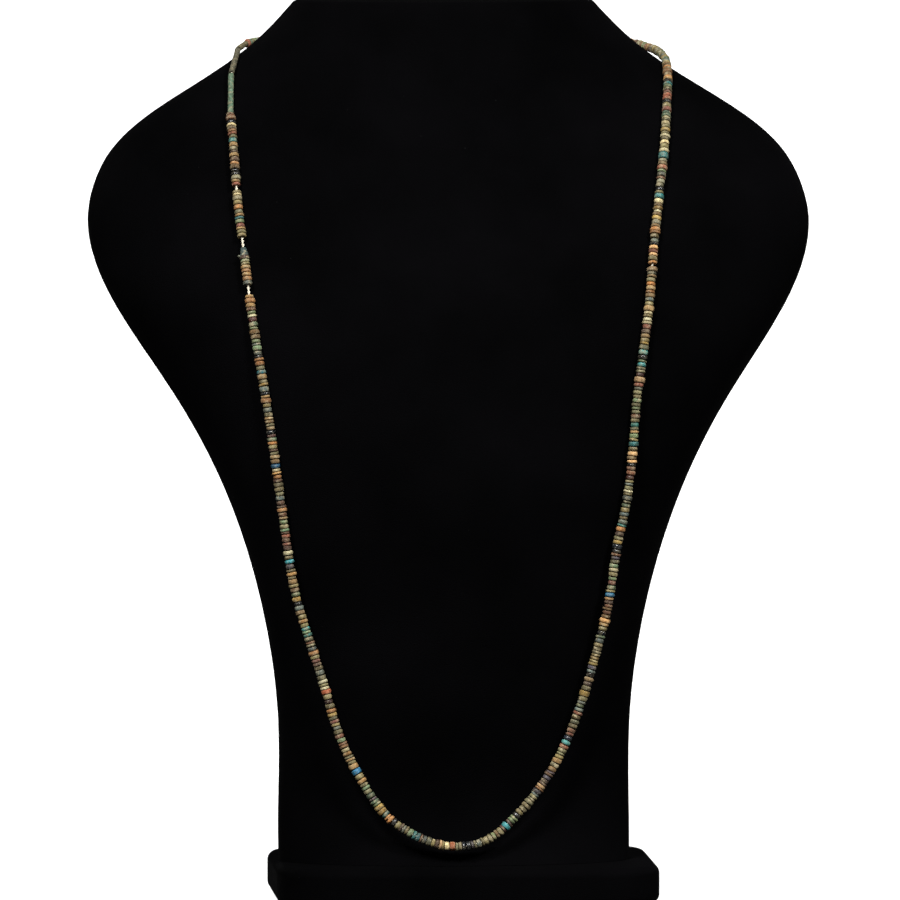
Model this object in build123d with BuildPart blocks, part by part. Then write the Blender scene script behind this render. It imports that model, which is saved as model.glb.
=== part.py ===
from build123d import *

import math
import os

# Bust: a plain velvet covered neck form that stands on a rounded plinth
FORM_TOP = 298.0
SHOULDER_WIDTH = 241.8
CHEST_DEPTH = 79.0
STEM_CENTRE_Y = -10.0
NECK_LEAN = 59.0
FORM_SHIFT_X = -3.5
NECK_EDGE_ROUND = 2.0
FORM_SEAT_GAP = 0.1
BASE_WIDTH = 127.6
BASE_DEPTH = 103.0
BASE_THICKNESS = 13.0
BASE_CORNER = 22.0
BASE_EDGE_ROUND = 3.0

# String: a thread, and beads drilled for it
THREAD_DIAMETER = 0.9
THREAD_CLEARANCE = 0.2
BEAD_GAP = 0.2
DISC_DIAMETER = 3.1
DISC_EDGE_ROUND = 0.3
TUBE_DIAMETER = 1.9
TUBE_END_ROOM = 0.9
TUBE_JOINT_RADIUS = 3.0
CONE_LENGTH = 4.3
CONE_NARROW = 1.7
CONE_WIDE = 3.3
SPUR_DIAMETER = 0.8
SPUR_LENGTH = 0.9
KNOT_DIAMETER = 2.4
KNOT_LENGTH = 1.6
KNOT_ROUND = 0.6
ARC_SHARE = 0.45

BORE = THREAD_DIAMETER + 2 * THREAD_CLEARANCE

# Level sections of the form, as shares of its height above the plinth, of half the shoulder width,
# of half the chest depth, and of how far the neck lies behind the stem
FORM_SECTIONS = [
    # height, width, depth, lean
    (0.000, 0.484, 0.710, 0.000),
    (0.165, 0.486, 0.710, 0.000),
    (0.267, 0.515, 0.747, 0.000),
    (0.339, 0.554, 0.810, 0.008),
    (0.444, 0.641, 0.924, 0.051),
    (0.547, 0.772, 0.987, 0.153),
    (0.651, 0.931, 1.000, 0.305),
    (0.702, 0.984, 0.975, 0.407),
    (0.747, 1.000, 0.937, 0.492),
    (0.789, 0.980, 0.886, 0.576),
    (0.825, 0.935, 0.848, 0.644),
    (0.858, 0.856, 0.797, 0.712),
    (0.891, 0.740, 0.747, 0.780),
    (0.926, 0.608, 0.696, 0.847),
    (0.960, 0.505, 0.671, 0.915),
    (1.000, 0.414, 0.658, 1.000),
]

# Route of the string, measured from the bust's own middle line: it starts and ends at the knot behind
# the neck, and each row says whether rigid tube beads meet there, so that the thread bends sharply
ROUTE = [
    # x, y, z, tube joint
    (-10.0, 72.9, 285.5, False),
    (-29.0, 69.8, 285.4, False),
    (-45.5, 64.9, 285.2, False),
    (-59.0, 57.6, 284.8, False),
    (-67.2, 48.4, 284.0, True),
    (-70.6, 36.9, 281.6, True),
    (-72.1, 22.2, 273.6, True),
    (-72.2, 8.7, 260.8, True),
    (-71.1, -0.1, 249.3, False),
    (-70.0, -10.3, 232.5, False),
    (-67.9, -18.7, 216.4, False),
    (-66.1, -26.1, 200.2, False),
    (-63.7, -30.8, 183.7, False),
    (-61.0, -33.1, 167.9, False),
    (-58.3, -34.4, 147.2, False),
    (-55.7, -34.6, 127.4, False),
    (-53.0, -34.9, 106.5, False),
    (-48.6, -35.3, 90.6, False),
    (-43.0, -35.9, 74.0, False),
    (-38.7, -36.6, 57.0, False),
    (-31.7, -37.5, 42.7, False),
    (-23.5, -38.6, 29.6, False),
    (-11.4, -39.7, 21.8, False),
    (0.2, -40.2, 18.9, False),
    (11.6, -39.6, 21.7, False),
    (19.7, -38.8, 29.0, False),
    (27.3, -38.0, 37.4, False),
    (35.7, -37.2, 50.4, False),
    (43.0, -36.3, 68.1, False),
    (48.5, -35.6, 87.3, False),
    (52.3, -35.1, 101.2, False),
    (54.7, -34.7, 119.3, False),
    (57.9, -34.3, 131.3, False),
    (60.3, -34.0, 148.1, False),
    (62.0, -32.7, 169.4, False),
    (64.7, -30.3, 185.2, False),
    (66.9, -25.3, 201.7, False),
    (68.3, -18.0, 218.0, False),
    (70.4, -9.2, 234.1, False),
    (72.6, 1.1, 250.8, False),
    (73.6, 11.6, 263.0, False),
    (74.3, 23.4, 273.0, False),
    (73.8, 36.2, 279.6, False),
    (70.0, 47.2, 282.6, False),
    (60.6, 57.0, 284.2, False),
    (46.0, 64.9, 285.0, False),
    (29.0, 69.8, 285.4, False),
    (10.0, 72.9, 285.5, False),
]


# Single beads that stand out, by the distance of their middles along the route from the knot
RING_BEADS = [
    # name, distance, length, diameter
    ("ring_chipped_flare", 122.5, 1.8, 3.4),
    ("ring_dark_1", 124.3, 1.5, 3.0),
    ("ring_orange_1", 191.1, 1.7, 3.5),
    ("ring_tan_1", 201.9, 1.7, 3.4),
    ("ring_turquoise_1", 215.5, 1.4, 3.2),
    ("ring_orange_2", 225.2, 1.7, 3.5),
    ("ring_green_1", 238.3, 1.3, 3.1),
    ("ring_blue_1", 247.2, 1.5, 3.1),
    ("ring_orange_3", 262.0, 1.4, 3.4),
    ("ring_turquoise_2", 279.3, 1.3, 3.2),
    ("ring_tan_2", 283.5, 1.3, 3.4),
    ("ring_orange_4", 310.4, 1.5, 3.5),
    ("ring_coral_1", 324.0, 1.5, 3.3),
    ("ring_blue_2", 352.2, 2.0, 3.3),
    ("ring_teal_1", 382.1, 1.3, 3.2),
    ("ring_terracotta", 394.0, 2.0, 3.3),
    ("ring_turquoise_3", 414.2, 1.7, 3.3),
    ("ring_yellow", 466.6, 2.0, 3.4),
    ("ring_peach_1", 491.9, 1.5, 3.7),
    ("ring_blue_3", 500.8, 1.5, 3.2),
    ("ring_cream", 509.2, 1.3, 3.2),
    ("ring_turquoise_4", 551.7, 1.7, 3.3),
    ("ring_peach_2", 572.9, 2.0, 3.8),
    ("ring_teal_2", 582.1, 1.7, 3.2),
    ("ring_tan_3", 597.1, 2.0, 3.5),
    ("ring_peach_3", 611.0, 1.7, 3.7),
    ("ring_cyan", 637.9, 1.9, 3.2),
    ("ring_coral_2", 648.8, 1.7, 3.5),
    ("ring_turquoise_5", 653.5, 2.5, 3.4),
    ("ring_red", 672.8, 1.8, 3.2),
]

# The cone bead's middle, and the stretches of thread that lie bare
CONE_PLACE = 173.9
BARE_THREAD = [
    # from, to
    (149.0, 150.8),
    (168.1, 171.6),
    (185.6, 189.1),
    (611.9, 613.0),
]

# Runs of small disc beads after the tube beads, each a node, by where they end along the route
DISC_RUNS = [
    # name, end
    ("discs_left_1", 149.9),
    ("discs_left_2", 170.0),
    ("discs_left_3", 187.4),
    ("discs_left_4", 300.0),
    ("discs_left_5", 402.0),
    ("discs_right_1", 509.2),
    ("discs_right_2", 612.4),
    ("discs_right_3", 712.0),
]


def corner_radii(points, joints):
    """One radius for each corner: small where tube beads meet, else as large as both runs allow."""
    radii = []
    for before, here, after, joint in zip(points, points[1:], points[2:], joints):
        run_in = here - before
        run_out = after - here
        shorter = min(run_in.length, run_out.length)
        half_turn = math.radians(run_in.get_angle(run_out) / 2)
        radii.append(TUBE_JOINT_RADIUS if joint else ARC_SHARE * shorter / math.tan(half_turn))
    return radii


os.makedirs("parts", exist_ok=True)

knot_y, knot_z = ROUTE[0][1], ROUTE[0][2]
knot_start = Vector(FORM_SHIFT_X - KNOT_LENGTH / 2, knot_y, knot_z)
knot_end = Vector(FORM_SHIFT_X + KNOT_LENGTH / 2, knot_y, knot_z)
route_points = [knot_start, *[Vector(x + FORM_SHIFT_X, y, z) for x, y, z, joint in ROUTE], knot_end]
radii = corner_radii(route_points, [row[3] for row in ROUTE])
print("arc radii", [round(radius, 1) for radius in radii])
with BuildLine() as string_line:
    FilletPolyline(*route_points, radius=radii)
route = string_line.wire()
print("length of the route", round(route.length, 1), "mm")


def distance_to(point):
    """How far along the route a point of it lies, from the knot."""
    return route.param_at_point(point) * route.length


def tube_ends(first_row):
    """The two ends of the tube bead that lies along the run after a row of the route."""
    start, end = route_points[first_row + 1], route_points[first_row + 2]
    along = (end - start).normalized()
    return start + along * TUBE_END_ROOM, end - along * TUBE_END_ROOM


def drilled_bead(middle, along, length, diameter):
    """A short round bead with rounded rims, drilled for the thread."""
    with BuildPart() as bead:
        with BuildSketch(Plane(middle, z_dir=along)):
            Circle(diameter / 2)
            Circle(BORE / 2, mode=Mode.SUBTRACT)
        extrude(amount=length / 2, both=True)
        rims = bead.edges().filter_by(GeomType.CIRCLE).group_by(SortBy.RADIUS)[-1]
        fillet(rims, DISC_EDGE_ROUND)
    return bead.part


def free_spans(start, end, taken):
    """What is left of a stretch of the route once the taken stretches and the gaps beside them are out."""
    spans = []
    for low, high in sorted(taken):
        if high > start and low < end:
            spans.append((start, low - BEAD_GAP))
            start = high + BEAD_GAP
    spans.append((start, end))
    return [(low, high) for low, high in spans if high - low > BEAD_GAP]


def disc_run(spans):
    """Drilled tubes along the route, in place of the small beads."""
    with BuildPart() as run:
        for low, high in spans:
            stretch = route.trim(low / route.length, high / route.length)
            with BuildSketch(Plane(stretch @ 0, z_dir=stretch % 0)):
                Circle(DISC_DIAMETER / 2)
                Circle(BORE / 2, mode=Mode.SUBTRACT)
            sweep(path=stretch)
    return run.part


def write(part, name):
    part.label = name
    export_step(part, f"parts/{name}.step")


# Neck form, lofted through its level sections
form_foot = BASE_THICKNESS + FORM_SEAT_GAP
form_height = FORM_TOP - form_foot
with BuildPart() as neck_form:
    for height, width, depth, lean in FORM_SECTIONS:
        middle = (FORM_SHIFT_X, STEM_CENTRE_Y + lean * NECK_LEAN, form_foot + height * form_height)
        with BuildSketch(Plane(middle)):
            Ellipse(width * SHOULDER_WIDTH / 2, depth * CHEST_DEPTH / 2)
    loft()
    fillet(neck_form.faces().sort_by(Axis.Z)[-1].edges(), NECK_EDGE_ROUND)
write(neck_form.part, "neck_form")

# Plinth
with BuildPart() as bust_base:
    with BuildSketch():
        RectangleRounded(BASE_WIDTH, BASE_DEPTH, BASE_CORNER)
    extrude(amount=BASE_THICKNESS)
    flat_faces = bust_base.faces().filter_by(Axis.Z)
    fillet(flat_faces.edges(), BASE_EDGE_ROUND)
write(bust_base.part, "bust_base")

# Thread, and the knot that its ends go into
with BuildPart() as thread:
    with BuildSketch(Plane(route @ 0, z_dir=route % 0)):
        Circle(THREAD_DIAMETER / 2)
    sweep(path=route)
write(thread.part, "thread")
section_times_length = math.pi * THREAD_DIAMETER**2 / 4 * route.length
print("thread volume", round(thread.part.volume, 2), "section times length", round(section_times_length, 2))

with BuildPart() as thread_knot:
    with BuildSketch(Plane(knot_start, z_dir=knot_end - knot_start)):
        Circle(KNOT_DIAMETER / 2)
    extrude(amount=KNOT_LENGTH)
    fillet(thread_knot.edges().filter_by(GeomType.CIRCLE), KNOT_ROUND)
write(thread_knot.part, "thread_knot")

# Tube beads, each on a straight run between two joints
joint_rows = [row for row, (x, y, z, joint) in enumerate(ROUTE) if joint]
tube_rows = joint_rows[:-1]
for number, row in enumerate(reversed(tube_rows), start=1):
    tube_start, tube_end = tube_ends(row)
    with BuildPart() as tube_bead:
        with BuildSketch(Plane(tube_start, z_dir=tube_end - tube_start)):
            Circle(TUBE_DIAMETER / 2)
            Circle(BORE / 2, mode=Mode.SUBTRACT)
        extrude(amount=(tube_end - tube_start).length)
    write(tube_bead.part, f"tube_bead_{number}")

# Cone bead, narrow end up, with a spur on its outer side
cone_at = CONE_PLACE / route.length
cone_along = route % cone_at
cone_top = (route @ cone_at) - cone_along * CONE_LENGTH / 2
with BuildPart() as cone_bead:
    with BuildSketch(Plane(cone_top, z_dir=cone_along)):
        Circle(CONE_NARROW / 2)
    with BuildSketch(Plane(cone_top + cone_along * CONE_LENGTH, z_dir=cone_along)):
        Circle(CONE_WIDE / 2)
    loft()
    spur_foot = cone_top + cone_along * (CONE_LENGTH - SPUR_DIAMETER)
    with BuildSketch(Plane(spur_foot, z_dir=(-1, 0, 0))):
        Circle(SPUR_DIAMETER / 2)
    extrude(amount=CONE_WIDE / 2 + SPUR_LENGTH)
    with BuildSketch(Plane(cone_top, z_dir=cone_along)):
        Circle(BORE / 2)
    extrude(amount=CONE_LENGTH, mode=Mode.SUBTRACT)
write(cone_bead.part, "cone_bead")

# Single beads
for name, distance, length, diameter in RING_BEADS:
    at = distance / route.length
    write(drilled_bead(route @ at, route % at, length, diameter), name)

# Runs of disc beads
taken = [(distance - length / 2, distance + length / 2) for name, distance, length, diameter in RING_BEADS]
taken.append((CONE_PLACE - CONE_LENGTH / 2, CONE_PLACE + CONE_LENGTH / 2))
taken += BARE_THREAD
last_tube_end = distance_to(tube_ends(tube_rows[0])[0]) - BEAD_GAP
run_start = distance_to(tube_ends(tube_rows[-1])[1]) + BEAD_GAP
write(disc_run([(BEAD_GAP, last_tube_end)]), "discs_nape_left")
for name, run_end in DISC_RUNS:
    write(disc_run(free_spans(run_start, run_end, taken)), name)
    run_start = run_end + BEAD_GAP
write(disc_run([(run_start, route.length - BEAD_GAP)]), "discs_nape_right")
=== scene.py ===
"""Looks of the faience bead necklace on its neck bust: beads, thread, velvet, light and camera."""
import math
import random
from collections import namedtuple

import bpy
import numpy as np
from mathutils import Matrix, Vector, noise


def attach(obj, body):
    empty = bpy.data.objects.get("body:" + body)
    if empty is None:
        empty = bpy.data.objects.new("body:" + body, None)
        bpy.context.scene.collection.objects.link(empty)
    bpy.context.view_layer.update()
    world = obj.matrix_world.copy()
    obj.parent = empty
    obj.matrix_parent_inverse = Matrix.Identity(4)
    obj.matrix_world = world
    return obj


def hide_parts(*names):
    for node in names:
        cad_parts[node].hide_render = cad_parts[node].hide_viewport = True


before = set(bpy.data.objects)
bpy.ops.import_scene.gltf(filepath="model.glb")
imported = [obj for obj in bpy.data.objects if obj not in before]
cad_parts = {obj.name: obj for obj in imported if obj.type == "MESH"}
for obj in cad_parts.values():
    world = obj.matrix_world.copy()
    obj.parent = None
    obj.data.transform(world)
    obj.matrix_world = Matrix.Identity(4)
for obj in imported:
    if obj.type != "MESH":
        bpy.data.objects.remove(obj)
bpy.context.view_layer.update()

MM = 0.001

# Camera: a long lens a little above the middle of the bust, and a little to the left of its front
CAMERA_DISTANCE = 6.0
CAMERA_AZIMUTH = math.radians(-3.5)
CAMERA_ELEVATION = math.radians(3.5)
SENSOR = 36.0
PICTURE_WIDTH = 0.300
AIM = Vector((-4.8, -10.0, 149.9)) * MM

# Light: two soft suns from the upper left and the upper right, and a weak even fill
SUNS = [
    # name, azimuth from the front, elevation, strength, apparent size
    ("sun_left", -26.0, 46.0, 3.3, 12.0),
    ("sun_right", 30.0, 42.0, 2.7, 12.0),
]
FILL = 0.07

# Stage: a square floor with far walls, which glow a little by themselves
FLOOR_REACH = 10.0
WALL_HEIGHT = 5.0
FLOOR_GLOW = 0.80

# Route of the string in millimetres, from the knot behind the neck and back to it: the solid model's line,
# moved sideways by up to three millimetres, mostly to the left
FORM_SHIFT_X = -3.5
KNOT_LENGTH = 1.6
ROUTE = [
    # x, y, z, tube joint
    (-8.0, 72.9, 285.5, False),
    (-26.9, 70.2, 285.5, False),
    (-43.7, 65.6, 285.3, False),
    (-57.4, 58.9, 284.3, False),
    (-66.3, 48.7, 283.4, True),
    (-69.6, 37.2, 282.0, True),
    (-72.6, 23.9, 274.2, True),
    (-73.5, 9.7, 261.1, True),
    (-72.8, 0.5, 249.5, False),
    (-72.2, -9.7, 232.7, False),
    (-70.4, -18.1, 216.6, False),
    (-68.8, -25.3, 200.4, False),
    (-66.5, -29.9, 183.9, False),
    (-63.7, -32.1, 168.1, False),
    (-60.8, -33.2, 147.4, False),
    (-58.0, -33.3, 127.5, False),
    (-55.1, -33.7, 106.6, False),
    (-50.5, -34.3, 90.7, False),
    (-44.8, -35.1, 74.1, False),
    (-40.3, -36.0, 57.1, False),
    (-33.2, -37.0, 42.8, False),
    (-24.9, -38.3, 29.7, False),
    (-12.8, -39.6, 21.9, False),
    (-1.1, -40.2, 18.9, False),
    (10.3, -39.7, 21.7, False),
    (18.3, -39.0, 29.0, False),
    (25.9, -38.3, 37.3, False),
    (34.2, -37.7, 50.3, False),
    (41.3, -37.0, 68.0, False),
    (46.7, -36.5, 87.2, False),
    (50.3, -36.1, 101.1, False),
    (52.5, -35.8, 119.2, False),
    (55.6, -35.5, 131.2, False),
    (57.9, -35.1, 148.0, False),
    (59.4, -33.6, 169.2, False),
    (62.1, -31.1, 185.0, False),
    (64.4, -26.0, 201.5, False),
    (66.0, -18.6, 217.8, False),
    (68.5, -9.7, 233.9, False),
    (71.1, 0.6, 250.6, False),
    (72.6, 11.0, 262.8, False),
    (73.9, 22.8, 272.8, False),
    (74.2, 33.2, 278.2, False),
    (71.4, 43.4, 281.5, False),
    (62.5, 55.2, 283.3, False),
    (48.0, 63.9, 284.5, False),
    (31.2, 69.3, 285.2, False),
    (12.0, 72.9, 285.5, False),
]
JOINT_REACH = 0.8 * MM

# How the line is read: reach of a direction's two points, tries for the nearest place, and least distance
# of two points that are kept apart
DIRECTION_REACH = 0.4 * MM
NEAREST_TRIES = 60
SAME_PLACE = 1e-7

# Thread: two plies, their middles and radii as shares of the thread's radius
THREAD_RADIUS = 0.45 * MM
PLY_MIDDLE = 0.48
PLY_RADIUS = 0.52
PLY_TURN = 2.6 * MM
PLY_STEP = 0.3 * MM
PLY_SIDES = 7

# Sizes of the beads; a single bead slides along the string from its solid's place
BEAD_SIDES = 20
BEAD_SLIDE = -1.1 * MM
BORE_RADIUS = 0.62 * MM
BORE_FLARE = 1.15
DISC_PITCH = 1.3 * MM
DISC_LOOSENESS = 0.12
TUBE_RADIUS = 0.95 * MM
TUBE_CLEARANCE = 0.4 * MM
TUBE_ROUNDING = 0.12 * MM
TUBE_END = 0.84
TUBE_STEPS = 34
CONE_HALF = 2.15 * MM
CONE_SIDES = 28
SPUR_SIDES = 12

# Where small beads stand: their margin to the knot, the least stretch that holds one, the tube beads that
# another tube bead follows directly, and the step between the solid's corners that a run is measured by
END_MARGIN = 0.05 * MM
LEAST_STRETCH = 0.4 * MM
JOINED_TUBES = ("tube_bead_3", "tube_bead_2")
CORNER_STEP = 97

# How uneven the beads are: what is drawn at random for each of them
TONES = (0.62, 1.10)
WARMTHS = (-0.03, 0.03)
GLOSS_SHARES = (0.8, 1.1)
WEAR_SHARES = (0.4, 1.6)
NOISE_REACH = 40
LENGTH_SHARES = (0.66, 1.40)
RADIUS_SPREAD = 0.055
RADIUS_LIMITS = (0.86, 1.12)
LEAN_SPREAD = 2.4
OFF_CENTRE_SPREAD = 0.05 * MM
CHIPPED_SHARE = 0.3
CHIP_DEPTHS = (0.08, 0.24)
CHIP_BOUNDS = (0.5, 0.85)
RIM_ROUNDS_IN = (0.22, 0.50)
RIM_ROUNDS_ALONG = (0.24, 0.44)
RIM_DOMES = (0.0, 0.06)

# Bare stretches of thread, measured along the string from the middle of a single bead
BARE_THREAD = {
    # name: (single bead, from, to)
    "bare_1": ("cone_bead", -24.9, -23.1),
    "bare_2": ("cone_bead", -5.8, -2.3),
    "bare_3": ("ring_orange_1", -5.5, -2.0),
    "bare_4": ("ring_peach_3", 0.9, 2.0),
}

# Glazes, chosen one by one: colour in even light, gloss, usual radius in millimetres, and wear
Glaze = namedtuple("Glaze", "colour gloss radius wear")
GLAZES = {
    "olive": Glaze((0.53, 0.49, 0.31), 0.25, 1.50, 0.50),
    "grey": Glaze((0.42, 0.46, 0.41), 0.40, 1.48, 0.45),
    "green": Glaze((0.48, 0.57, 0.40), 0.35, 1.50, 0.50),
    "teal": Glaze((0.24, 0.53, 0.50), 0.45, 1.50, 0.35),
    "tan": Glaze((0.66, 0.52, 0.31), 0.08, 1.56, 0.40),
    "brown": Glaze((0.43, 0.28, 0.17), 0.15, 1.52, 0.30),
    "orange": Glaze((0.74, 0.51, 0.27), 0.12, 1.60, 0.30),
    "yellow": Glaze((0.74, 0.60, 0.27), 0.12, 1.55, 0.30),
    "peach": Glaze((0.87, 0.68, 0.44), 0.08, 1.60, 0.30),
    "cream": Glaze((0.84, 0.79, 0.60), 0.20, 1.54, 0.40),
    "pink": Glaze((0.56, 0.33, 0.24), 0.12, 1.50, 0.25),
    "terracotta": Glaze((0.57, 0.33, 0.20), 0.12, 1.56, 0.25),
    "coral": Glaze((0.73, 0.40, 0.26), 0.15, 1.58, 0.25),
    "maroon": Glaze((0.29, 0.14, 0.12), 0.50, 1.46, 0.15),
    "purple": Glaze((0.32, 0.28, 0.31), 0.50, 1.46, 0.20),
    "dark": Glaze((0.10, 0.12, 0.14), 0.95, 1.48, 0.08),
    "blue": Glaze((0.07, 0.48, 0.66), 0.50, 1.54, 0.15),
    "turquoise": Glaze((0.17, 0.60, 0.62), 0.50, 1.56, 0.20),
    "tube": Glaze((0.33, 0.46, 0.37), 0.25, 0.95, 0.30),
    # the tube glaze greyed and darkened: painted shade for tube beads lying in shadow over the shoulder and
    # behind the neck
    "tube_painted_shade": Glaze((0.36, 0.36, 0.27), 0.20, 0.95, 0.30),
    "cone": Glaze((0.32, 0.42, 0.39), 0.30, 1.50, 0.50),
}

# What each single bead is glazed with, by the first word of its name
RING_GLAZES = {
    "chipped": "brown", "dark": "dark", "orange": "orange", "tan": "tan", "turquoise": "turquoise",
    "green": "green", "blue": "blue", "coral": "coral", "teal": "teal", "terracotta": "terracotta",
    "yellow": "yellow", "peach": "peach", "cream": "cream", "cyan": "turquoise", "red": "coral",
}
# tube beads 2 and 3 get the greyed, darkened tube glaze: painted shade for the shadow they lie in over the
# shoulder and behind the neck
TUBE_GLAZES = {1: "tube", 2: "tube_painted_shade", 3: "tube_painted_shade"}

# Chart of the small beads, read one by one: what follows each single bead or bare stretch of the string,
# one word for each small bead, down the left side and up the right side; the beads before the chart and
# after its last row are drawn from those behind the neck
CHART = {
    "tube_bead_1": "brown",
    "ring_dark_1": "cream tan orange terracotta olive teal tan olive brown tan brown orange tan dark dark"
                   " cream tan pink",
    "bare_1": "olive cream cream olive orange olive tan teal green pink tan olive olive",
    "cone_bead": "green olive tan orange tan orange grey",
    "bare_3": "tan",
    "ring_orange_1": "tan brown green cream maroon green green",
    "ring_tan_1": "tan green grey green grey dark orange orange olive",
    "ring_turquoise_1": "tan olive yellow grey dark tan",
    "ring_orange_2": "olive grey olive tan tan olive tan dark pink",
    "ring_green_1": "orange olive brown olive tan tan",
    "ring_blue_1": "cream tan orange brown olive olive olive grey brown brown",
    "ring_orange_3": "brown tan green olive green brown pink brown pink brown cream olive",
    "ring_turquoise_2": "purple olive",
    "ring_tan_2": "olive tan olive orange green yellow dark grey tan olive tan olive teal green teal olive"
                  " brown olive grey",
    "ring_orange_4": "olive pink brown olive grey olive cream olive cream",
    "ring_coral_1": "olive maroon olive orange yellow olive pink olive grey olive pink green brown orange"
                    " olive tan olive tan olive tan",
    "ring_blue_2": "olive tan olive green olive green purple green green yellow yellow teal orange orange"
                   " dark olive brown grey olive green teal",
    "ring_teal_1": "brown grey olive olive brown peach olive cream",
    "ring_terracotta": "olive cream dark dark purple olive grey olive olive olive green tan olive pink",
    "ring_turquoise_3": "maroon green green dark olive olive olive olive olive olive grey purple orange peach"
                        " brown brown purple brown purple tan olive tan olive olive olive pink teal dark pink"
                        " brown olive olive olive pink grey green grey olive",
    "ring_yellow": "olive brown tan dark grey purple yellow olive yellow olive olive olive olive grey green"
                   " dark olive tan",
    "ring_peach_1": "tan brown tan brown brown peach",
    "ring_blue_3": "olive green pink green olive",
    "ring_cream": "green olive purple brown dark dark yellow olive brown orange teal grey olive grey olive"
                  " green olive grey olive cream olive grey olive maroon terracotta terracotta dark peach"
                  " tan peach olive",
    "ring_turquoise_4": "olive green tan olive teal olive brown olive green olive green olive olive grey"
                        " pink",
    "ring_peach_2": "maroon olive olive teal green dark",
    "ring_teal_2": "olive yellow olive tan brown pink cream cream olive cream",
    "ring_tan_3": "olive grey tan orange tan orange olive tan olive",
    "bare_4": "orange olive peach pink peach dark grey olive orange orange tan cream yellow tan cream yellow"
              " tan cream",
    "ring_cyan": "olive dark olive cream brown grey green",
    "ring_coral_2": "tan cream",
    "ring_turquoise_5": "cream olive cream olive cream olive yellow olive cream olive olive green green",
    "ring_red": "olive dark coral coral pink olive green teal dark tan orange tan orange tan orange olive tan"
                " olive grey green olive grey olive green olive grey olive olive grey",
}
BEHIND_THE_NECK = "olive olive olive tan tan green green grey brown cream orange teal pink dark"

# Colours of the materials, in linear light
GRIME = (0.30, 0.24, 0.17, 1.0)
WORN_BODY = (0.40, 0.33, 0.19, 1.0)
DUST = (0.75, 0.70, 0.55, 1.0)
PIT = (0.03, 0.02, 0.015, 1.0)
THREAD_CREAM = (0.88, 0.82, 0.68, 1.0)
THREAD_SHADE = (0.62, 0.52, 0.36, 1.0)
VELVET_DEEP = (0.0006, 0.0006, 0.0007, 1.0)
VELVET_WORN = (0.0016, 0.0015, 0.0018, 1.0)
LINT = (0.010, 0.010, 0.010, 1.0)
FLOOR_GREY = (0.60, 0.60, 0.60, 1.0)
WHITE = (1.0, 1.0, 1.0, 1.0)

# Patterns of the materials, in waves per metre
MOTTLE_WAVES = 1200.0
GRAIN_WAVES = 3600.0
PATCH_WAVES = 700.0
FIBRE_WAVES = 5200.0
PILE_WAVES = 2600.0
NAP_WAVES = 22.0
LINT_WAVES = 900.0


def to_linear(colour):
    """A display colour as linear light."""
    return [c / 12.92 if c <= 0.04045 else ((c + 0.055) / 1.055) ** 2.4 for c in colour]


def direction_to(azimuth, elevation):
    """The direction from the bust to a place at these angles, the azimuth from its front to the right."""
    level = math.cos(elevation)
    return Vector((math.sin(azimuth) * level, -math.cos(azimuth) * level, math.sin(elevation)))


def aim_camera():
    """The camera, with the lens that the picture's width asks for at its distance."""
    data = bpy.data.cameras.new("camera")
    data.sensor_width = SENSOR
    data.lens = SENSOR * CAMERA_DISTANCE / PICTURE_WIDTH
    data.clip_end = 4 * FLOOR_REACH
    camera = bpy.data.objects.new("camera", data)
    bpy.context.collection.objects.link(camera)
    back = direction_to(CAMERA_AZIMUTH, CAMERA_ELEVATION)
    turn = (-back).to_track_quat("-Z", "Y").to_matrix()
    camera.matrix_world = Matrix.Translation(AIM + back * CAMERA_DISTANCE) @ turn.to_4x4()
    bpy.context.scene.camera = camera


class StringLine:
    """The string's smooth line, a spline through the route, read by the distance from the knot."""

    def __init__(self):
        curve = bpy.data.curves.new("route", "CURVE")
        curve.dimensions = "3D"
        curve.resolution_u = 24
        points = self.control_points()
        spline = curve.splines.new("NURBS")
        spline.points.add(len(points) - 1)
        for target, point in zip(spline.points, points):
            target.co = (*point, 1.0)
        spline.order_u = 3
        spline.use_endpoint_u = True
        holder = bpy.data.objects.new("route", curve)
        mesh = bpy.data.meshes.new_from_object(holder)
        line = np.array([tuple(vertex.co) for vertex in mesh.vertices])
        bpy.data.meshes.remove(mesh)
        bpy.data.objects.remove(holder)
        bpy.data.curves.remove(curve)
        apart = np.linalg.norm(np.diff(line, axis=0), axis=1) > SAME_PLACE
        self.line = line[np.concatenate([[True], apart])]
        steps = np.linalg.norm(np.diff(self.line, axis=0), axis=1)
        self.along = np.concatenate([[0.0], np.cumsum(steps)])
        self.length = float(self.along[-1])

    @staticmethod
    def control_points():
        """The route's points in metres; a joint of tube beads has one point close on each side."""
        first, last = ROUTE[0], ROUTE[-1]
        rows = [(-KNOT_LENGTH / 2, *first[1:3], False), *ROUTE, (KNOT_LENGTH / 2, *last[1:3], False)]
        places = [Vector((x + FORM_SHIFT_X, y, z)) * MM for x, y, z, joint in rows]
        points = []
        for number, (place, row) in enumerate(zip(places, rows)):
            if row[3]:
                for beside in (places[number - 1], places[number + 1]):
                    points.append(place + (beside - place).normalized() * JOINT_REACH)
            else:
                points.append(place)
        return points

    def point(self, distance):
        """Point at a distance from the knot."""
        return Vector([float(np.interp(distance, self.along, self.line[:, k])) for k in range(3)])

    def at(self, distance):
        """Point and direction at a distance from the knot."""
        ahead = self.point(min(distance + DIRECTION_REACH, self.length))
        behind = self.point(max(distance - DIRECTION_REACH, 0.0))
        return self.point(distance), (ahead - behind).normalized()

    def nearest(self, point):
        """Distance from the knot of the place on the line that is nearest to a point."""
        best = int(np.linalg.norm(self.line - np.array(point), axis=1).argmin())
        ends = self.along[max(best - 1, 0)], self.along[min(best + 1, len(self.line) - 1)]
        tries = [float(d) for d in np.linspace(*ends, NEAREST_TRIES)]
        return min(tries, key=lambda d: (self.point(d) - Vector(point)).length)


def node_spots(node):
    """The corners of a solid's mesh, in the frame."""
    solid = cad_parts[node]
    return np.array([tuple(solid.matrix_world @ vertex.co) for vertex in solid.data.vertices])


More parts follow.
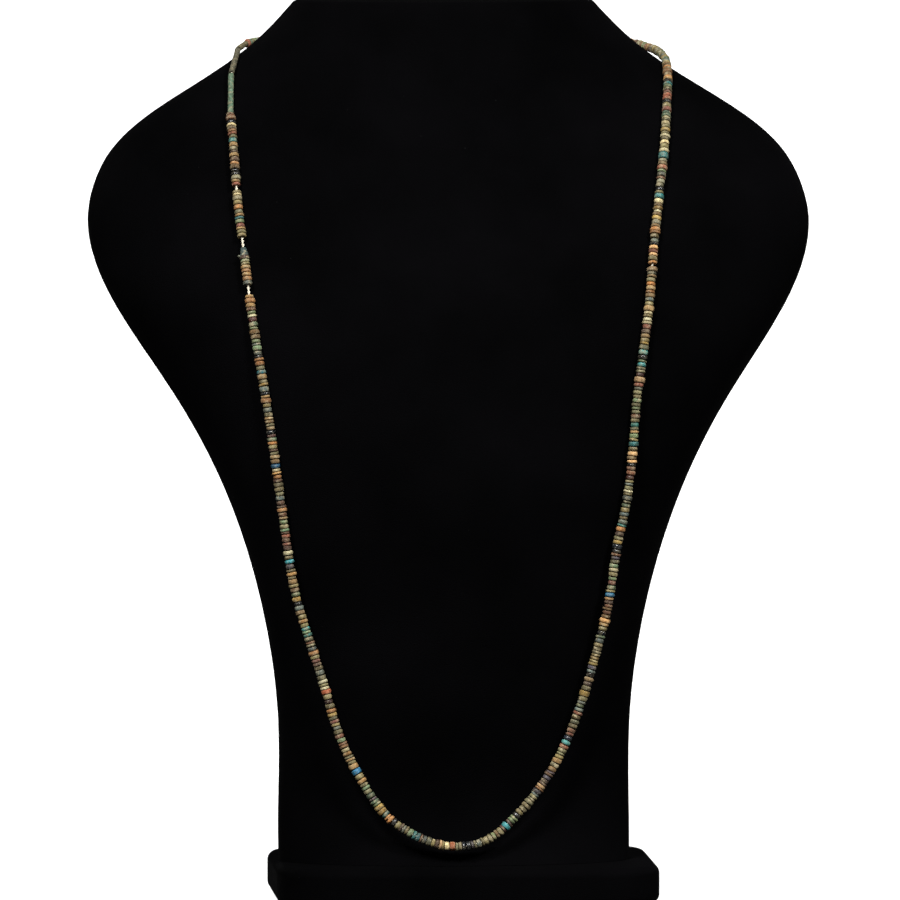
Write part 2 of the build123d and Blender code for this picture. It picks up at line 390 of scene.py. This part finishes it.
def long_and_wide(spots, middle, along):
    """Length along an axis, and radius across it."""
    heights = (spots - np.array(middle)) @ np.array(along)
    across = np.linalg.norm(spots - np.array(middle) - np.outer(heights, np.array(along)), axis=1)
    return float(heights.max() - heights.min()), float(across.max())


class BeadMesh:
    """Collects beads into one mesh that keeps each bead's colour, gloss and wear as attributes."""

    def __init__(self):
        self.points, self.faces = [], []
        self.colours, self.gloss, self.wear = [], [], []

    def add_lathe(self, place, rows, sides, glaze, draw, rough, chip=None, tints=None):
        """Turns rows of (height, radius) round the bead's axis, with an uneven outer surface."""
        tone = draw.uniform(*TONES)
        warm = draw.uniform(*WARMTHS)
        seed = Vector([draw.uniform(-NOISE_REACH, NOISE_REACH) for k in range(3)])
        widest = max(r for h, r in rows)
        base = len(self.points)
        for number, (h, r) in enumerate(rows):
            shade = tints[number] if tints else GLAZES[glaze].colour
            tint = [min(1.0, max(0.0, c * tone + warm * side)) for c, side in zip(shade, (1, 0, -1))]
            linear = to_linear(tint)
            for side in range(sides):
                angle = 2 * math.pi * side / sides
                spot = Vector((math.cos(angle), math.sin(angle), h / widest))
                swell = 1.0
                if r > BORE_RADIUS * 1.2:
                    broad = rough * noise.noise(spot * 1.3 + seed)
                    fine = 0.5 * rough * noise.noise(spot * 4.0 + seed)
                    swell += broad + fine
                    if chip:
                        toward, depth, bound = chip
                        swell -= depth * max(0.0, math.cos(angle - toward) - bound) / (1.0 - bound)
                lift = 0.6 * rough * widest * noise.noise(spot * 1.7 - seed)
                self.points.append(place @ Vector((spot.x * r * swell, spot.y * r * swell, h + lift)))
                self.colours.append((*linear, 1.0))
        count = len(rows)
        for row in range(count):
            here, there = base + row * sides, base + (row + 1) % count * sides
            for side in range(sides):
                beside = (side + 1) % sides
                self.faces.append((here + side, here + beside, there + beside, there + side))
        self.gloss += [GLAZES[glaze].gloss * draw.uniform(*GLOSS_SHARES)] * (count * sides)
        self.wear += [GLAZES[glaze].wear * draw.uniform(*WEAR_SHARES)] * (count * sides)

    def build(self, name, material, node):
        """Makes the mesh a piece in place of a node."""
        mesh = bpy.data.meshes.new(name)
        mesh.from_pydata([tuple(point) for point in self.points], [], self.faces)
        glaze = mesh.color_attributes.new("glaze", "FLOAT_COLOR", "POINT")
        glaze.data.foreach_set("color", np.array(self.colours, dtype=np.float32).ravel())
        for label, values in (("gloss", self.gloss), ("wear", self.wear)):
            mesh.attributes.new(label, "FLOAT", "POINT").data.foreach_set("value", values)
        mesh.shade_smooth()
        add_piece(name, mesh, material, node)


def add_piece(name, mesh, material, node):
    """Puts a mesh into the scene as a piece that replaces a node."""
    mesh.materials.append(material)
    piece = bpy.data.objects.new(name, mesh)
    bpy.context.collection.objects.link(piece)
    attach(piece, "root")
    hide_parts(node)


def upright(point, along):
    """A matrix that stands a bead on the string."""
    return Matrix.Translation(point) @ along.to_track_quat("Z", "Y").to_matrix().to_4x4()


def disc_rows(length, radius, round_in, round_along, dome):
    """The closed outline of a disc bead: bore, flat end, rounded rim, other end and back to the bore."""
    half = length / 2
    rim = []
    for share in (0.0, 0.3, 0.6, 1.0):
        angle = share * math.pi / 2
        height = half - round_along * (1 - math.sin(angle))
        rim.append((height, radius - round_in * (1 - math.cos(angle)) - dome))
    outer = [(-h, r) for h, r in reversed(rim)] + [(0.0, radius)] + rim
    face = radius - round_in - dome
    inner = [(half, (face + BORE_RADIUS) / 2), (half, BORE_RADIUS * BORE_FLARE), (half * 0.9, BORE_RADIUS)]
    return [(-h, r) for h, r in reversed(inner)] + outer + inner


def add_disc(beads, line, middle, length, glaze, draw, radius=None):
    """One disc bead on the string: uneven, a little tilted and off centre, and now and then chipped."""
    if radius is None:
        smallest, largest = RADIUS_LIMITS
        radius = GLAZES[glaze].radius * MM * min(largest, max(smallest, draw.gauss(1.0, RADIUS_SPREAD)))
    point, along = line.at(middle)
    lean = [Matrix.Rotation(math.radians(draw.gauss(0, LEAN_SPREAD)), 4, axis) for axis in "XY"]
    shift = Matrix.Translation([draw.gauss(0, OFF_CENTRE_SPREAD), draw.gauss(0, OFF_CENTRE_SPREAD), 0])
    spin = Matrix.Rotation(draw.uniform(0, 2 * math.pi), 4, "Z")
    chip = None
    if draw.random() < CHIPPED_SHARE:
        chip = (draw.uniform(0, 2 * math.pi), draw.uniform(*CHIP_DEPTHS), draw.uniform(*CHIP_BOUNDS))
    length = length * (1 - DISC_LOOSENESS)
    rows = disc_rows(length, radius, draw.uniform(*RIM_ROUNDS_IN) * MM,
                     draw.uniform(*RIM_ROUNDS_ALONG) * length, draw.uniform(*RIM_DOMES) * MM)
    beads.add_lathe(upright(point, along) @ shift @ lean[0] @ lean[1] @ spin, rows, BEAD_SIDES, glaze, draw,
                    rough=0.045, chip=chip)


def make_ring_beads(line, faience):
    """The single beads, each in its node's place and of its node's size."""
    places = {}
    for node in sorted(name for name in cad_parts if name.startswith("ring_")):
        spots = node_spots(node)
        heart = (spots.min(axis=0) + spots.max(axis=0)) / 2
        middle = line.nearest(heart) + BEAD_SLIDE
        length, radius = long_and_wide(spots, heart, line.at(middle)[1])
        beads = BeadMesh()
        draw = random.Random(node)
        add_disc(beads, line, middle, length, RING_GLAZES[node.split("_")[1]], draw, radius=radius)
        beads.build("bead_" + node, faience, node)
        places[node] = (middle - length / 2, middle + length / 2)
    return places


def tube_rows(half, number):
    """The closed outline of a hand-rolled tube bead: bore, flat end, wavy outside, and the same back."""
    inner = [(half, TUBE_RADIUS * TUBE_END), (half, BORE_RADIUS * BORE_FLARE), (half * 0.98, BORE_RADIUS)]
    outer = []
    for step in range(TUBE_STEPS + 1):
        share = step / TUBE_STEPS
        swell = 1.0 + 0.03 * math.sin(share * 7.0 + number) + 0.015 * math.sin(share * 19.0)
        outer.append(((2 * share - 1) * (half - TUBE_ROUNDING), TUBE_RADIUS * swell))
    return [(-h, r) for h, r in reversed(inner)] + outer + inner


def make_tube_beads(line, faience):
    """The slender tube beads at the left shoulder, each from joint to joint of the route."""
    places = {}
    joints = [Vector((x + FORM_SHIFT_X, y, z)) * MM for x, y, z, joint in ROUTE if joint]
    for number, low, high in zip((3, 2, 1), joints, joints[1:]):
        node = f"tube_bead_{number}"
        draw = random.Random(node)
        middle, along = (low + high) / 2, (high - low).normalized()
        centre = line.nearest(middle)
        half = (high - low).length / 2 - TUBE_CLEARANCE
        beads = BeadMesh()
        beads.add_lathe(upright(middle, along), tube_rows(half, number), BEAD_SIDES, TUBE_GLAZES[number],
                        draw, rough=0.05)
        beads.build("bead_" + node, faience, node)
        places[node] = (centre - half, centre + half)
    return places


def make_cone_bead(line, faience):
    """The cone bead: grey-green, blocky, dark towards its wide end, with the stub of a spur."""
    node = "cone_bead"
    draw = random.Random(node)
    middle = line.nearest(node_spots(node).mean(axis=0)) + BEAD_SLIDE
    point, along = line.at(middle)
    glaze, brown = GLAZES["cone"].colour, GLAZES["brown"].colour
    profile = [
        # share of the half length, radius in millimetres, colour
        (-0.97, 0.62, glaze),
        (-1.00, 0.72, glaze),
        (-1.00, 0.80, glaze),
        (-0.90, 0.95, glaze),
        (-0.60, 1.08, glaze),
        (-0.20, 1.18, glaze),
        (0.10, 1.25, glaze),
        (0.26, 1.40, glaze),
        (0.36, 1.52, glaze),
        (0.44, 1.50, brown),
        (0.52, 1.36, brown),
        (0.62, 1.50, brown),
        (0.85, 1.60, brown),
        (0.97, 1.48, brown),
        (1.00, 1.20, brown),
        (1.00, 0.74, brown),
        (0.95, 0.62, brown),
    ]
    rows = [(share * CONE_HALF, radius * MM) for share, radius, colour in profile]
    beads = BeadMesh()
    beads.add_lathe(upright(point, along), rows, CONE_SIDES, "cone", draw, rough=0.10,
                    tints=[colour for share, radius, colour in profile])
    # height and radius in millimetres, from the spur's foot inside the cone
    spur = [(0.0, 0.05), (0.0, 0.45), (0.6, 0.42), (0.95, 0.34), (1.2, 0.22), (1.28, 0.04)]
    outward = Vector((-1.0, 0.0, 0.15)).normalized()
    foot = point + along * CONE_HALF * 0.55 + outward * 1.15 * MM
    beads.add_lathe(upright(foot, outward), [(h * MM, r * MM) for h, r in spur], SPUR_SIDES, "grey", draw,
                    rough=0.15)
    beads.build("bead_cone", faience, node)
    return {node: (middle - CONE_HALF, middle + CONE_HALF)}


def make_disc_runs(line, faience, singles):
    """The small beads between the single ones, as one piece for each run of the solid model."""
    taken = dict(singles)
    for name, (beside, low, high) in BARE_THREAD.items():
        middle = sum(singles[beside]) / 2
        taken[name] = (middle + low * MM, middle + high * MM)
    order = sorted(taken.items(), key=lambda item: item[1])
    names = [None, *(name for name, span in order)]
    starts = [END_MARGIN, *(span[1] for name, span in order)]
    ends = [*(span[0] for name, span in order), line.length - END_MARGIN]
    runs = {node: BeadMesh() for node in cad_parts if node.startswith("discs_")}
    spans = {node: run_span(node, line) for node in runs}
    draw = random.Random("small beads")
    for name, start, end in zip(names, starts, ends):
        if name in JOINED_TUBES or end - start < LEAST_STRETCH:
            continue
        words = CHART.get(name, "").split()
        if not words or name == names[-1]:
            count = max(1, round((end - start) / DISC_PITCH))
            words += [draw.choice(BEHIND_THE_NECK.split()) for k in range(count - len(words))]
        shares = [draw.uniform(*LENGTH_SHARES) for word in words]
        unit = (end - start) / sum(shares)
        for glaze, share in zip(words, shares):
            length = share * unit
            middle = start + length / 2
            owner = min(spans, key=lambda node: max(spans[node][0] - middle, middle - spans[node][1]))
            add_disc(runs[owner], line, middle, length, glaze, draw)
            start += length
    for node, beads in runs.items():
        beads.build("beads_" + node, faience, node)


def run_span(node, line):
    """First and last distance of a run's node along the string."""
    places = [line.nearest(spot) for spot in node_spots(node)[::CORNER_STEP]]
    return min(places), max(places)


def make_thread(line, material):
    """The thread: two plies twisted round each other along the whole loop."""
    points, faces = [], []
    steps = int(line.length / PLY_STEP)
    for ply in (0, 1):
        base = len(points)
        across = None
        for step in range(steps + 1):
            distance = line.length * step / steps
            point, along = line.at(distance)
            across = along.orthogonal() if across is None else across - along * across.dot(along)
            across.normalize()
            other = along.cross(across)
            turn = 2 * math.pi * distance / PLY_TURN + math.pi * ply
            middle = point + (across * math.cos(turn) + other * math.sin(turn)) * THREAD_RADIUS * PLY_MIDDLE
            for side in range(PLY_SIDES):
                angle = 2 * math.pi * side / PLY_SIDES
                outward = across * math.cos(angle) + other * math.sin(angle)
                points.append(middle + outward * THREAD_RADIUS * PLY_RADIUS)
        for step in range(steps):
            here, there = base + step * PLY_SIDES, base + (step + 1) * PLY_SIDES
            for side in range(PLY_SIDES):
                beside = (side + 1) % PLY_SIDES
                faces.append((here + side, here + beside, there + beside, there + side))
        faces.append(tuple(reversed(range(base, base + PLY_SIDES))))
        faces.append(tuple(range(base + steps * PLY_SIDES, base + (steps + 1) * PLY_SIDES)))
    mesh = bpy.data.meshes.new("thread_plies")
    mesh.from_pydata([tuple(point) for point in points], [], faces)
    mesh.shade_smooth()
    add_piece("thread_plies", mesh, material, "thread")


def dress(node, material):
    """Gives a solid's own mesh a material."""
    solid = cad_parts[node]
    if not solid.material_slots:
        solid.data.materials.append(material)
    for held in solid.material_slots:
        held.link = "OBJECT"
        held.material = material


class Shading:
    """A new material with its node tree, and short calls for the nodes used here."""

    def __init__(self, name):
        self.material = bpy.data.materials.new(name)
        self.material.use_nodes = True
        self.tree = self.material.node_tree
        self.shader = self.tree.nodes["Principled BSDF"]

    def feed(self, socket, value):
        """Links a socket to another, or sets its value."""
        if isinstance(value, bpy.types.NodeSocket):
            self.tree.links.new(value, socket)
        else:
            socket.default_value = value

    def attribute(self, name):
        node = self.tree.nodes.new("ShaderNodeAttribute")
        node.attribute_name = name
        return node

    def maths(self, operation, first, second, clamp=False):
        node = self.tree.nodes.new("ShaderNodeMath")
        node.operation = operation
        node.use_clamp = clamp
        self.feed(node.inputs[0], first)
        self.feed(node.inputs[1], second)
        return node.outputs[0]

    def mix(self, factor, first, second, blend="MIX"):
        node = self.tree.nodes.new("ShaderNodeMix")
        node.data_type = "RGBA"
        node.blend_type = blend
        for socket, value in zip((node.inputs[0], node.inputs[6], node.inputs[7]), (factor, first, second)):
            self.feed(socket, value)
        return node.outputs[2]

    def noise(self, scale, detail=3.0):
        place = self.tree.nodes.new("ShaderNodeTexCoord")
        node = self.tree.nodes.new("ShaderNodeTexNoise")
        node.inputs["Scale"].default_value = scale
        node.inputs["Detail"].default_value = detail
        self.tree.links.new(place.outputs["Object"], node.inputs["Vector"])
        return node.outputs[0]

    def between(self, value, low, high):
        node = self.tree.nodes.new("ShaderNodeMapRange")
        node.inputs["From Min"].default_value = low
        node.inputs["From Max"].default_value = high
        self.feed(node.inputs["Value"], value)
        return node.outputs[0]

    def bump(self, height, distance, strength):
        node = self.tree.nodes.new("ShaderNodeBump")
        node.inputs["Distance"].default_value = distance
        node.inputs["Strength"].default_value = strength
        self.feed(node.inputs["Height"], height)
        self.feed(self.shader.inputs["Normal"], node.outputs[0])


def faience_material():
    """Weathered faience: each bead's own glaze, mottled, worn in patches to a dusty body, and pitted."""
    look = Shading("weathered_faience")
    gloss = look.attribute("gloss").outputs["Fac"]
    wear = look.attribute("wear").outputs["Fac"]
    glaze = look.attribute("glaze").outputs["Color"]
    mottle, grain = look.noise(MOTTLE_WAVES), look.noise(GRAIN_WAVES)
    patch = look.noise(PATCH_WAVES, detail=2.0)
    tone = look.between(mottle, 0.34, 0.66)
    shaded = look.mix(look.maths("MULTIPLY", tone, 0.75), glaze, GRIME, "MULTIPLY")
    worn_at = look.maths("MULTIPLY", look.between(patch, 0.50, 0.62), wear, clamp=True)
    worn = look.mix(worn_at, shaded, WORN_BODY)
    dusty_at = look.maths("MULTIPLY", look.between(grain, 0.58, 0.70), 0.35)
    dusty = look.mix(dusty_at, worn, DUST)
    pitted_at = look.maths("MULTIPLY", look.between(grain, 0.42, 0.32), 0.75)
    look.feed(look.shader.inputs["Base Color"], look.mix(pitted_at, dusty, PIT))
    matt = look.maths("SUBTRACT", 0.85, look.maths("MULTIPLY", gloss, 0.78))
    rough = look.maths("ADD", matt, look.maths("MULTIPLY", tone, 0.10), clamp=True)
    look.feed(look.shader.inputs["Roughness"], rough)
    look.bump(look.maths("ADD", look.maths("MULTIPLY", grain, 0.7), mottle), 0.14 * MM, 0.8)
    return look.material


def thread_material():
    """Cream thread with fine fibres."""
    look = Shading("cream_thread")
    fibre = look.noise(FIBRE_WAVES)
    shade = look.mix(look.between(fibre, 0.35, 0.70), THREAD_CREAM, THREAD_SHADE)
    look.feed(look.shader.inputs["Base Color"], shade)
    look.shader.inputs["Roughness"].default_value = 0.9
    look.shader.inputs["Sheen Weight"].default_value = 0.3
    look.bump(fibre, 0.05 * MM, 0.6)
    return look.material


def velvet_material():
    """Black velvet: nearly black, with a short uneven pile and a faint bloom where it turns away."""
    look = Shading("black_velvet")
    pile, nap, lint = look.noise(PILE_WAVES), look.noise(NAP_WAVES), look.noise(LINT_WAVES, detail=1.0)
    base = look.mix(look.between(nap, 0.3, 0.7), VELVET_DEEP, VELVET_WORN)
    flecked = look.mix(look.between(lint, 0.82, 0.88), base, LINT)
    look.feed(look.shader.inputs["Base Color"], flecked)
    look.feed(look.shader.inputs["Roughness"], look.between(pile, -2.0, 1.0))
    look.shader.inputs["Specular IOR Level"].default_value = 0.01
    look.shader.inputs["Sheen Weight"].default_value = 0.005
    look.shader.inputs["Sheen Roughness"].default_value = 0.35
    look.bump(pile, 0.35 * MM, 0.7)
    return look.material


def floor_material():
    """Pale and matt, with a white glow of its own."""
    look = Shading("pale_floor")
    look.shader.inputs["Base Color"].default_value = FLOOR_GREY
    look.shader.inputs["Emission Color"].default_value = WHITE
    look.shader.inputs["Emission Strength"].default_value = FLOOR_GLOW
    look.shader.inputs["Roughness"].default_value = 1.0
    look.shader.inputs["Specular IOR Level"].default_value = 0.0
    return look.material


def make_floor():
    """The floor and its far walls, which send no light back to the bust and stop none."""
    reach = FLOOR_REACH
    corners = [(-reach, -reach), (reach, -reach), (reach, reach), (-reach, reach)]
    points = [(*corner, height) for height in (0.0, WALL_HEIGHT) for corner in corners]
    walls = [(k, (k + 1) % 4, (k + 1) % 4 + 4, k + 4) for k in range(4)]
    mesh = bpy.data.meshes.new("floor")
    mesh.from_pydata(points, [], [(0, 1, 2, 3), *walls])
    mesh.materials.append(floor_material())
    floor = bpy.data.objects.new("floor", mesh)
    floor.visible_diffuse = False
    floor.visible_glossy = False
    floor.visible_shadow = False
    bpy.context.collection.objects.link(floor)


def make_lights():
    """The two suns, and the even fill from all round."""
    for name, azimuth, elevation, strength, size in SUNS:
        sun = bpy.data.lights.new(name, "SUN")
        sun.energy = strength
        sun.angle = math.radians(size)
        light = bpy.data.objects.new(name, sun)
        outward = direction_to(math.radians(azimuth), math.radians(elevation))
        light.rotation_euler = (-outward).to_track_quat("-Z", "Y").to_euler()
        light.location = outward
        bpy.context.collection.objects.link(light)
    world = bpy.data.worlds.new("studio")
    world.use_nodes = True
    back = world.node_tree.nodes["Background"]
    back.inputs["Color"].default_value = WHITE
    back.inputs["Strength"].default_value = FILL
    bpy.context.scene.world = world


aim_camera()
string_line = StringLine()
faience, cream_thread, velvet = faience_material(), thread_material(), velvet_material()
for bust_node in ("neck_form", "bust_base"):
    dress(bust_node, velvet)
dress("thread_knot", cream_thread)
singles = make_ring_beads(string_line, faience)
singles.update(make_tube_beads(string_line, faience))
singles.update(make_cone_bead(string_line, faience))
make_disc_runs(string_line, faience, singles)
make_thread(string_line, cream_thread)
make_floor()
make_lights()
bpy.context.scene.view_settings.view_transform = "Standard"
